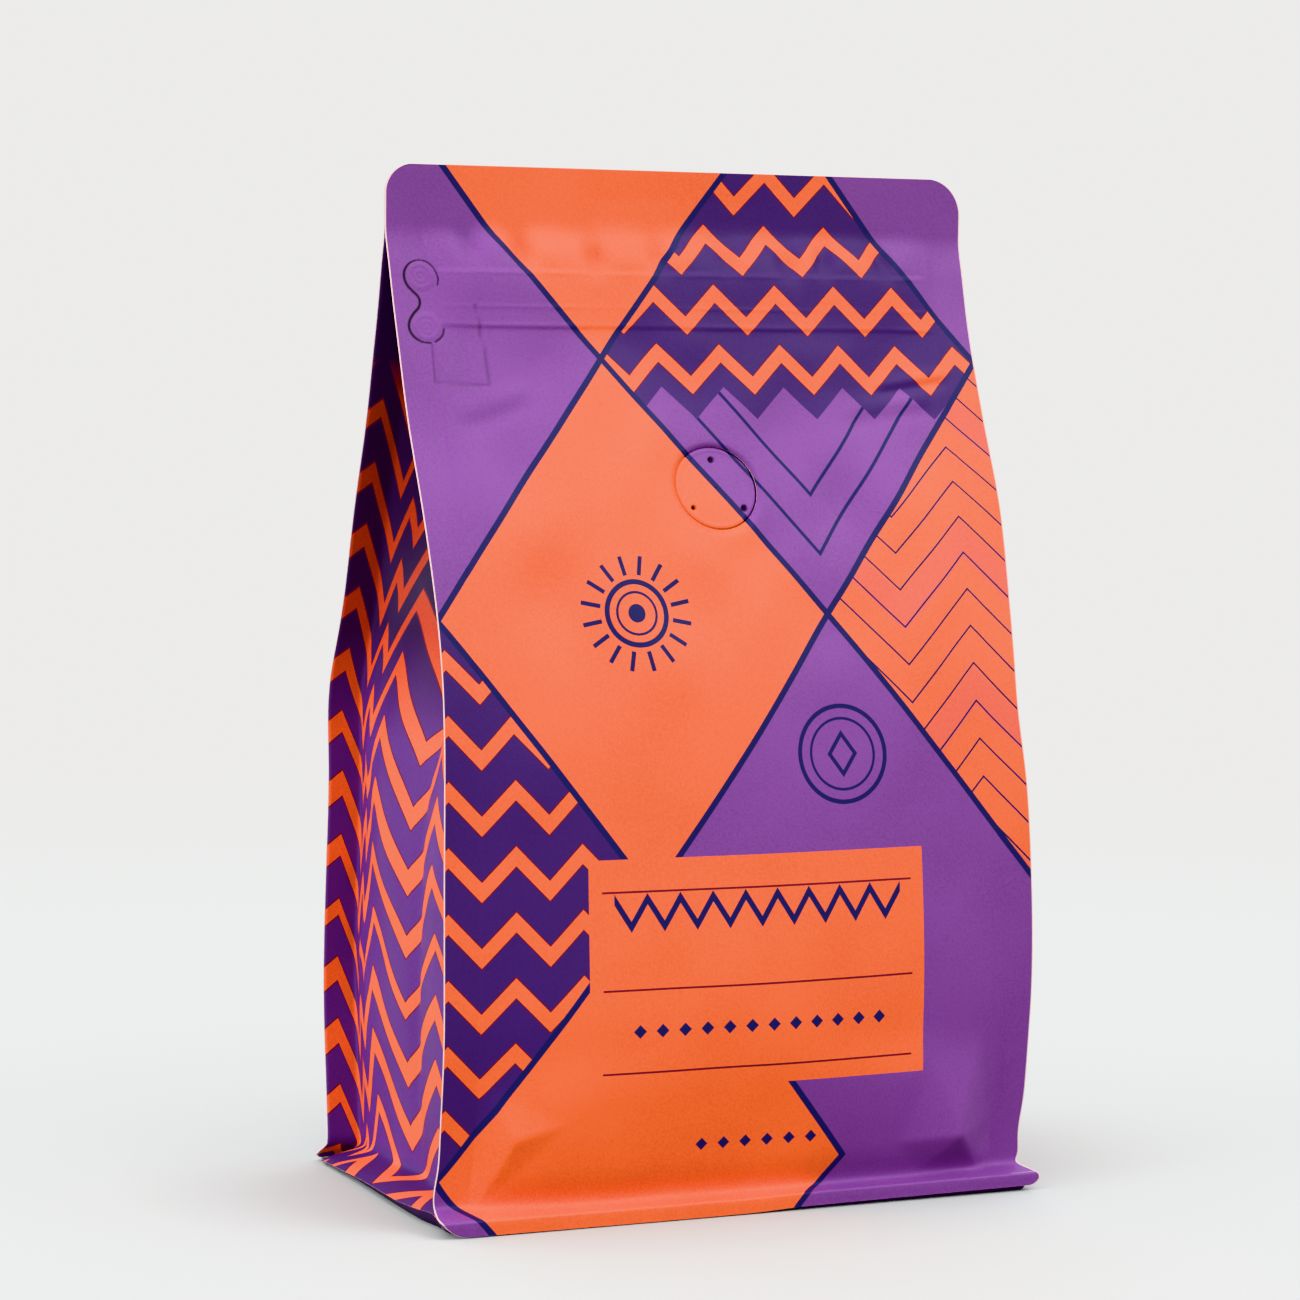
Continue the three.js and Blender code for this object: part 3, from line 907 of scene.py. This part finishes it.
def gusset(name, side, seed):
    """One gusset film. side is 1 for the right and -1 for the left. Seen from outside, the right
    gusset's front fin is on its left, and the left gusset's on its right."""
    half = merged(steps((0, 4, 0.8), (4, GUSSET_HALF - 7, 1.25),
                        (GUSSET_HALF - 7, GUSSET_EDGE, 0.7)))
    sections = {}
    rows = merged(*[corner_steps(r, 0, 1) for r in GUSSET_CORNERS],
                  corner_steps(TOP_CORNER[side], GUSSET_LENGTH, -1),
                  steps((0, 10, 0.45), (10, 90, 1.4), (90, 150, 1.2), (150, GUSSET_LENGTH, 1.8)),
                  np.array([BARE_EDGE]))
    z = side_height(rows)[:, None]
    for face, corner in (("front", FRONT_FOOT_CORNER), ("back", BACK_FOOT_CORNER)):
        limit = rounded_limit(film_length_to(side_height(rows)), PANEL_LENGTH, GUSSET_EDGE,
                              corner[side] + 0.3, TOP_CORNER[side] + 0.3)[:, None]
        squeezed = GUSSET_HALF + (half - GUSSET_HALF) * (limit - GUSSET_HALF) / FIN
        p = np.where(half[None, :] > GUSSET_HALF, squeezed, half[None, :])
        out, deep = half_section(p, np.repeat(z, len(half), axis=1), face, side, seed)
        sections[face] = (out * side, deep * -FACE_TURN[face], p)
    left, right = ("front", "back") if side == 1 else ("back", "front")
    x, y, p = (np.concatenate([sections[left][k][:, ::-1], sections[right][k][:, 1:]], axis=1)
               for k in range(3))
    p[:, :len(half) - 1] *= -1
    x, y, z = soften(x, 2), soften(y, 2), np.repeat(z, x.shape[1], axis=1)
    v = np.repeat(rows[:, None], x.shape[1], axis=1)
    bare = -1.0 * (v < 0.01)
    return film_sheet(name, np.stack([x, y, z + foot_lift(x, y, z)], axis=-1), p, v, bare)


left_gusset = gusset("gusset_left", -1, 21)
right_gusset = gusset("gusset_right", 1, 22)

# %% [markdown]
# The base panel closes the bag below. Its rim is welded just inside the raised edge of the foot
# and drops from there to the floor, so that the bag stands on the flat middle and a dark gap
# shows under its edges. It could be left out, because it hardly shows, but then the gap would let
# light in under the bag.

# %% Base panel
BASE_INSET = 0.6
BASE_LIFT = [(0, 0.22), (4, 0.2), (8, 0.02), (12, 0), (50, 0)]   # by distance from the edge
BASE_DROP = (0.1, 0.8)       # distances over which the rim drops from the foot's raised edge


def base_panel():
    """The base film, a rounded rectangle, with columns to the right seen from below."""
    half_x, half_y = FOOT_HALF_WIDTH - BASE_INSET, FOOT_HALF_DEPTH - BASE_INSET
    corner = {("front", side): FRONT_FOOT_CORNER[side] + 1 for side in (-1, 1)}
    corner.update({("back", side): BACK_FOOT_CORNER[side] + 1 for side in (-1, 1)})
    rows = merged(steps((0, 9, 0.5), (9, 2 * half_y - 9, 3), (2 * half_y - 9, 2 * half_y, 0.5)),
                  *[corner_steps(r, 0, 1) for (face, _), r in corner.items() if face == "back"],
                  *[corner_steps(r, 2 * half_y, -1) for (face, _), r in corner.items()
                    if face == "front"])
    share = merged(steps((-1, -0.87, 0.007), (-0.87, 0.87, 0.05), (0.87, 1, 0.007)))[None, :]
    limit = {side: (rounded_limit(rows, 2 * half_y, half_x, corner["back", side],
                                  corner["front", side])
                    - along(FOOT_SLACK[side], half_y - rows))[:, None] for side in (-1, 1)}
    x = np.where(share < 0, share * limit[-1], share * limit[1])
    y = np.repeat((half_y - rows)[:, None], share.shape[1], axis=1)
    near = np.minimum(np.where(x < 0, limit[-1], limit[1]) - np.abs(x), half_y - np.abs(y))
    rise = along(BASE_LIFT, near) + foot_lift(x, y, 0 * x) * (1 - ease(*BASE_DROP, near))
    return film_sheet("base_panel", np.stack([x, y, rise], axis=-1), x, -y)


base_film = base_panel()

# %% [markdown]
# The valve is a round plate welded to the film. The print runs on across it. Its rim lies in a
# shallow groove, and three small vents near the rim are sunk pits, darkened with painted shade. It
# is drawn as rings round its middle, so that its edge is a true circle, and it follows the panel's
# own form. A flat disc set into the hole would stand proud of the swelling film on one side.

# %% Valve
VENTS = [(0.0, 6.6, 0.8), (-6.2, -4.8, 0.62), (6.2, -5.0, 0.85)]    # u, v and radius
VALVE_SUNK = 0.22
VALVE_TILT = 0.16            # how far its upper right edge leans in
VALVE_THICK = 0.9


def valve_plate():
    """The valve: a disc with a rounded rim and three vents."""
    rings = merged(np.linspace(0.02, 1, 4), np.arange(1.3, VALVE_RADIUS - 0.9, 0.24),
                   np.linspace(VALVE_RADIUS - 0.85, VALVE_RADIUS, 9))[::-1, None]
    turns = np.linspace(0, 2 * math.pi, 181)[None, :-1]
    du, dv = rings * np.cos(turns), rings * np.sin(turns)
    u, v = VALVE_MIDDLE[0] + du, VALVE_V + dv
    radius = np.hypot(du, dv)
    # the vents: sunk pits, which also carry painted shade in the film's third number
    pits = sum(1 - ease(size * 0.55, size * 1.1, np.hypot(du - x, dv - y)) for x, y, size in VENTS)

    def relief(u, v, z):
        rim = -0.35 * ease(VALVE_RADIUS - 0.4, VALVE_RADIUS, radius)
        bead = 0.12 * hump(radius, VALVE_RADIUS - 0.9, 0.35)
        tilt = -VALVE_TILT * (du + dv) / VALVE_RADIUS
        return tilt - VALVE_SUNK + bead + rim - 0.8 * pits + 0.04 * slow_waves(u, v, 9, 3)

    return film_sheet("valve_plate", panel_points(u, v, relief), u, v, pits, thick=VALVE_THICK,
                      wraps=True)


valve = valve_plate()

# %% [markdown]
# Colours come next. The film is printed in a few inks: a hot orange, a violet, a deep indigo and
# a navy for the lines. Cut edges show the film itself, and the near-black in cuts, puckers and
# vents is painted shade. Values are linear, and are judged against the lit parts of the film,
# because a shaded part always looks darker than its ink.

# %% Inks
ORANGE = (0.92, 0.155, 0.044, 1)
VIOLET = (0.196, 0.063, 0.27, 1)
INDIGO = (0.055, 0.022, 0.135, 1)
GUSSET_VIOLET = (0.112, 0.035, 0.204, 1)
# orange with painted shade, for the bands in the gussets' fold
SHADED_ORANGE = (0.45, 0.035, 0.014, 1)
# the gussets' darker ground with painted shade in their fold, and painted shade on the base
MIDNIGHT = (0.032, 0.01, 0.06, 1)
NAVY = (0.018, 0.018, 0.1, 1)
MAROON = (0.14, 0.012, 0.03, 1)
ROSE = (0.74, 0.13, 0.11, 1)
SHADE = (0.02, 0.0, 0.03, 1)
# painted shade, laid into cuts, puckers and vents
CUT_SHADE = (0.012, 0.004, 0.016, 1)
CUT_EDGE = (0.86, 0.6, 0.58, 1)
DARK_EDGE = (0.2, 0.06, 0.16, 1)
INSIDE = (0.55, 0.55, 0.56, 1)
SOFT = 0.1      # millimetres over which one ink gives way to the next

# %% [markdown]
# The print is made of fields of colour and simple lines. Each field is a mask between 0 and 1,
# worked out from u and v, and the colours are laid over each other one mask at a time, as a
# printer lays inks. Distances stay in millimetres, so a line's width can be read off the code.

# %% Print helpers
def within(finish, distance):
    """1 where the distance in millimetres is above 0, with a narrow soft edge."""
    return finish.clamp(distance * (1 / SOFT) + 0.5)


def stroke(finish, distance, width):
    """1 on a line of that width along distance 0."""
    return within(finish, width / 2 - abs(distance))


def laid(finish, colour, *layers):
    """The colour with each (mask, ink) of layers laid over it in turn."""
    for mask, ink in layers:
        colour = finish.mix(mask, colour, ink)
    return colour


def fraction(finish, value):
    """The part of a value after its whole number."""
    return finish.math("FRACT", value)


def off_middle(finish, value, pitch):
    """Signed distance of a value from the middle of the repeat that it falls in."""
    return (fraction(finish, value * (1 / pitch)) - 0.5) * pitch


def ramp(finish, value, start, end):
    """0 at start, 1 at end and straight between."""
    return finish.clamp((value - start) * (1 / (end - start)))


def diamond(u, v, middle, half_width, half_height):
    """Distance inside the edge of a diamond."""
    slant = half_width * half_height / math.hypot(half_width, half_height)
    reach = abs(u - middle[0]) * (1 / half_width) + abs(v - middle[1]) * (1 / half_height)
    return (1 - reach) * slant


def sawtooth(finish, u, v, pitch, rise):
    """v bent so that its level lines are saw-toothed, with low points at u = 0."""
    wave = abs(fraction(finish, u * (1 / pitch)) - 0.5) * 2
    return v + (wave - 1) * rise


def broken_line(finish, u, places):
    """A height that changes straight from place to place, as (u, height) pairs."""
    total = places[0][1]
    for (u0, h0), (u1, h1) in zip(places[:-1], places[1:]):
        total = total + finish.value("ShaderNodeMapRange", inputs={
            "Value": u, "From Min": u0, "From Max": u1, "To Min": 0.0, "To Max": h1 - h0})
    return total


def bands(finish, height, pitch, width):
    """Masks of a stack of bands and of the fine dark lines along their edges."""
    inside = width / 2 - abs(off_middle(finish, height, pitch))
    return within(finish, inside), stroke(finish, inside, 0.4)


# %% [markdown]
# The panel's print is a lattice of tall diamonds with navy outlines, cut off by the film's edges.
# Some fields are plain, some filled with saw-toothed bands or thin chevrons, an old and common
# pattern. Two simple line drawings stand in them: a sun, and nested rings. A plain orange label
# covers the lower middle, with thin rules and rows of small shapes. A painted picture would do the
# same at one size only, and formulas keep every edge sharp.

# %% Panel print
LATTICE = (46.7, 60.0)        # half width and half height of a diamond
LINE = 1.4                    # width of the diamonds' outlines
STRIPES = (14.9, 7.6)         # pitch across and rise of the saw-teeth
STRIPES_END = 181.0           # v below which the upper field is plain
LABEL = (2.0, 58.0, 40.0, 25.0)       # middle u and v, half width and half height
RULES = (76.0, 55.0, 37.0)            # v of the label's thin rules


def toothed_field(finish, u, v):
    """Orange saw-toothed bands on indigo."""
    band, edge = bands(finish, sawtooth(finish, u + 2, v, *STRIPES), 14.0, 4.6)
    return laid(finish, INDIGO, (band, ORANGE), (edge, MAROON))


def chevron_field(finish, u, v):
    """Thin navy chevrons on orange, some of the stripes rose."""
    height = sawtooth(finish, u - 8, v, 34.0, 17.0)
    line = stroke(finish, off_middle(finish, height, 8.5), 0.6)
    stripe = within(finish, abs(off_middle(finish, height + 1.02, 34.0)) - 12.6)
    return laid(finish, ORANGE, (stripe * 0.55, ROSE), (line, NAVY))


def sun_motif(finish, u, v, middle, size):
    """Lines of a sun: a dot, two rings and sixteen short rays."""
    du, dv = u - middle[0], v - middle[1]
    radius = finish.math("SQRT", du * du + dv * dv)
    turn = finish.math("ARCTAN2", dv, du) * (16 / (2 * math.pi)) + 16
    aside = abs(fraction(finish, turn) - 0.5) * radius * (2 * math.pi / 16)
    ray = stroke(finish, aside, 1.0) * within(finish, size * 0.17 - abs(radius - size * 0.83))
    return finish.larger(stroke(finish, radius - size * 0.54, 1.2), ray,
                         stroke(finish, radius - size * 0.36, 0.6),
                         within(finish, size * 0.16 - radius))


def ring_motif(finish, u, v, middle, size):
    """Lines of nested rings with a small diamond in the middle."""
    du, dv = u - middle[0], v - middle[1]
    radius = finish.math("SQRT", du * du + dv * dv)
    small = diamond(u, v, middle, size * 0.3, size * 0.42)
    return finish.larger(stroke(finish, radius - size, 1.0),
                         stroke(finish, radius - size * 0.74, 0.6), stroke(finish, small, 0.9))


def label_print(finish, u, v, colour):
    """The plain label with rules, bold saw-teeth and small diamonds, and a few more below it."""
    middle_u, middle_v, wide, tall = LABEL
    across = u - middle_u
    label = finish.math("MINIMUM", wide - abs(across), tall - abs(v - middle_v))
    rules = finish.larger(*(stroke(finish, v - at, 0.45) for at in RULES))
    rules = rules * within(finish, wide - 3 - abs(across))
    bold = stroke(finish, sawtooth(finish, across, v - 68.5, 7.6, 6.0) * 0.62, 1.5)
    bold = bold * within(finish, 34.2 - abs(across))
    cell = off_middle(finish, across, 5.2)
    beads = within(finish, 1.5 - abs(cell) - abs(v - 46.0)) * within(finish, 31.2 - abs(across))
    few = within(finish, 1.4 - abs(cell) - abs(v - 20.0)) * within(finish, 15.6 - abs(across))
    return laid(finish, colour, (within(finish, label), ORANGE), (rules, MAROON),
                (finish.larger(bold, beads, few), NAVY))


def panel_print(finish, with_label):
    """The whole panel: fields of the lattice, then lines, motifs and the label."""
    u, v, _ = finish.film()
    half_u, half_v = LATTICE
    toothed, chevrons = toothed_field(finish, u, v), chevron_field(finish, u, v)
    high = within(finish, sawtooth(finish, u + 2, v, *STRIPES) - STRIPES_END)
    upper = finish.mix(high, VIOLET, toothed)
    fields = [((-half_u / 2, 255), ORANGE), ((half_u / 2, 195), upper),
              ((-half_u / 2, 135), ORANGE), ((half_u * 1.5, 135), chevrons),
              ((-half_u * 1.5, 75), toothed), ((-half_u / 2, 15), ORANGE)]
    colour, lines = VIOLET, []
    for middle, ink in fields:
        inside = diamond(u, v, middle, half_u, half_v)
        colour = finish.mix(within(finish, inside), colour, ink)
        lines.append(stroke(finish, inside, LINE))
    below = diamond(u, v, (half_u / 2, 195), half_u, half_v)
    nested = finish.larger(stroke(finish, below - 8.5, 0.8), stroke(finish, below - 17, 0.8))
    lines += [nested * (1 - high), sun_motif(finish, u, v, (-half_u / 2, 136), 13.0),
              ring_motif(finish, u, v, (half_u / 2, 104), 10.5)]
    colour = laid(finish, colour, (finish.larger(*lines), NAVY))
    return label_print(finish, u, v, colour) if with_label else colour


# %% [markdown]
# The gussets carry one run of saw-toothed bands on violet. Towards the top, where the film
# disappears into the fold, the ground goes to midnight, partly a darker ink and partly painted
# shade, and the orange bands take painted shade. On the ledge of the foot the ground takes painted
# shade in indigo. The teeth are steep on the fins and wide on the wall. Each band's width comes
# from a White Noise node fed with the band's own number, so no two neighbours are quite alike, as
# on a pattern drawn by hand.

# %% Gusset print
BAND_PITCH = 14.4
BAND_HALF = (2.1, 1.1)        # the narrowest half width, and what chance adds to it
TOOTH_LINE = [(-49.7, -2.6), (-46.3, 0), (-38.6, -18.5), (-35.6, -8), (-33, -15), (-27, 0),
               (-5.5, -19), (17, 0), (30, -15), (33, -7), (38.6, -18.5), (46.3, 0), (49.7, -2.6)]
# Places up the film between which the painted shade and the darker ground come in.
GROUND_DARKENS = (104, 130)
LEDGE_ENDS = (12.5, 9.17)
TOP_FOLD = (182, 191)


def gusset_print(finish):
    """Saw-toothed bands, darker upwards by ink and painted shade, and painted shade on the ledge."""
    u, v, _ = finish.film()
    height = (v - broken_line(finish, u, TOOTH_LINE)) * (1 / BAND_PITCH)
    number = finish.math("FLOOR", height)
    chance = finish.value("ShaderNodeTexWhiteNoise", {"noise_dimensions": "1D"}, {"W": number})
    wide = BAND_HALF[0] + BAND_HALF[1] * chance
    inside = wide - abs(fraction(finish, height) - 0.5) * BAND_PITCH
    dark_line = stroke(finish, inside, 0.45)
    # painted shade, with a darker ink, towards the fold at the top
    deep = ramp(finish, v, *GROUND_DARKENS)
    # painted shade in indigo on the foot's ledge
    ledge_shade = ramp(finish, v, *LEDGE_ENDS)
    ground = laid(finish, GUSSET_VIOLET, (deep, MIDNIGHT), (ledge_shade * 0.8, INDIGO))
    band = finish.mix(deep * 0.8, ORANGE, SHADED_ORANGE)
    # above the top fold all goes midnight: a darker ink and painted shade
    return laid(finish, ground, (within(finish, inside), band), (dark_line, MAROON),
                (ramp(finish, v, *TOP_FOLD), MIDNIGHT))


# %% [markdown]
# The film's finish is a soft-touch matte laminate. It has a very fine grain and faint mottling
# where the laminate lies unevenly, both as a Bump that feeds Normal, and its roughness changes a
# little with the same mottling. Object coordinates keep the grain the same size on every sheet.

# %% Film finish
def printed_film(name, colour_of, roughness=0.5):
    """A matte printed film. colour_of draws its print."""
    finish = Finish(name)
    colour = colour_of(finish)
    grain = finish.noise(1900.0, 2.0, 0.6)
    mottle = finish.noise(160.0, 3.0, 0.55)
    patch = finish.noise(34.0, 2.0)
    shade = finish.clamp((0.5 - patch) * 0.3 + (0.5 - grain) * 0.5 + 0.06)
    # the film's third number: painted shade in cuts, puckers and vents above 0, bare film below 0
    shade_and_bare = finish.film()[2]
    mottled_with_painted_shade = laid(finish, colour, (shade, SHADE), (finish.clamp(shade_and_bare), CUT_SHADE),
                (finish.clamp(-shade_and_bare * 1.4), CUT_EDGE))
    bump = finish.value("ShaderNodeBump", inputs={
        "Strength": 0.4, "Distance": 0.0002, "Height": grain * 0.45 + mottle * 0.8})
    rough = roughness + (mottle - 0.5) * 0.18
    return finish.ended("ShaderNodeBsdfPrincipled", {
        "Base Color": mottled_with_painted_shade, "Roughness": rough, "Normal": bump, "Specular IOR Level": 0.2})


def plain_film(name, tone, roughness):
    """Film without print, with a faint grain: the cut edge and the inside."""
    finish = Finish(name)
    shade = tuple(c * 0.82 for c in tone[:3]) + (1,)
    colour = finish.mix(finish.clamp((finish.noise(900.0, 2.0) - 0.35) * 2.0), shade, tone)
    return finish.ended("ShaderNodeBsdfPrincipled", {"Base Color": colour, "Roughness": roughness})


front_print = printed_film("print_front", lambda finish: panel_print(finish, True))
back_print = printed_film("print_back", lambda finish: panel_print(finish, False))
side_print = printed_film("print_gusset", gusset_print)
# The base is midnight all over: painted shade for the dark gap under the foot's raised edge.
base_painted_shade = printed_film("base_painted_shade_film", lambda finish: MIDNIGHT)
pale_edge = plain_film("film_pale_edge", CUT_EDGE, 0.6)
dark_edge = plain_film("film_dark_edge", DARK_EDGE, 0.6)
film_inside = plain_film("film_inside", INSIDE, 0.4)
print("print on the front takes", len(front_print.node_tree.nodes), "nodes")

# %% [markdown]
# Last, each sheet gets its three finishes, is tied to the one body and hides the plain solid that
# it stands for. The dressed bag has to stay the size of the solid one.

# %% Dress and finish
PIECES = [
    (front_film, front_print, pale_edge, "pouch", "printed_film"),
    (back_film, back_print, pale_edge, "pouch", "printed_film"),
    (left_gusset, side_print, dark_edge, "pouch", "printed_film"),
    (right_gusset, side_print, dark_edge, "pouch", "printed_film"),
    (base_film, base_painted_shade, dark_edge, "pouch", "printed_film"),
    (valve, front_print, dark_edge, "valve", "valve_film"),
]
for piece, printed, edge, node, slot_name in PIECES:
    for material in (printed, edge, film_inside):
        piece.data.materials.append(material)
    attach(piece, "root")
    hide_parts(node)
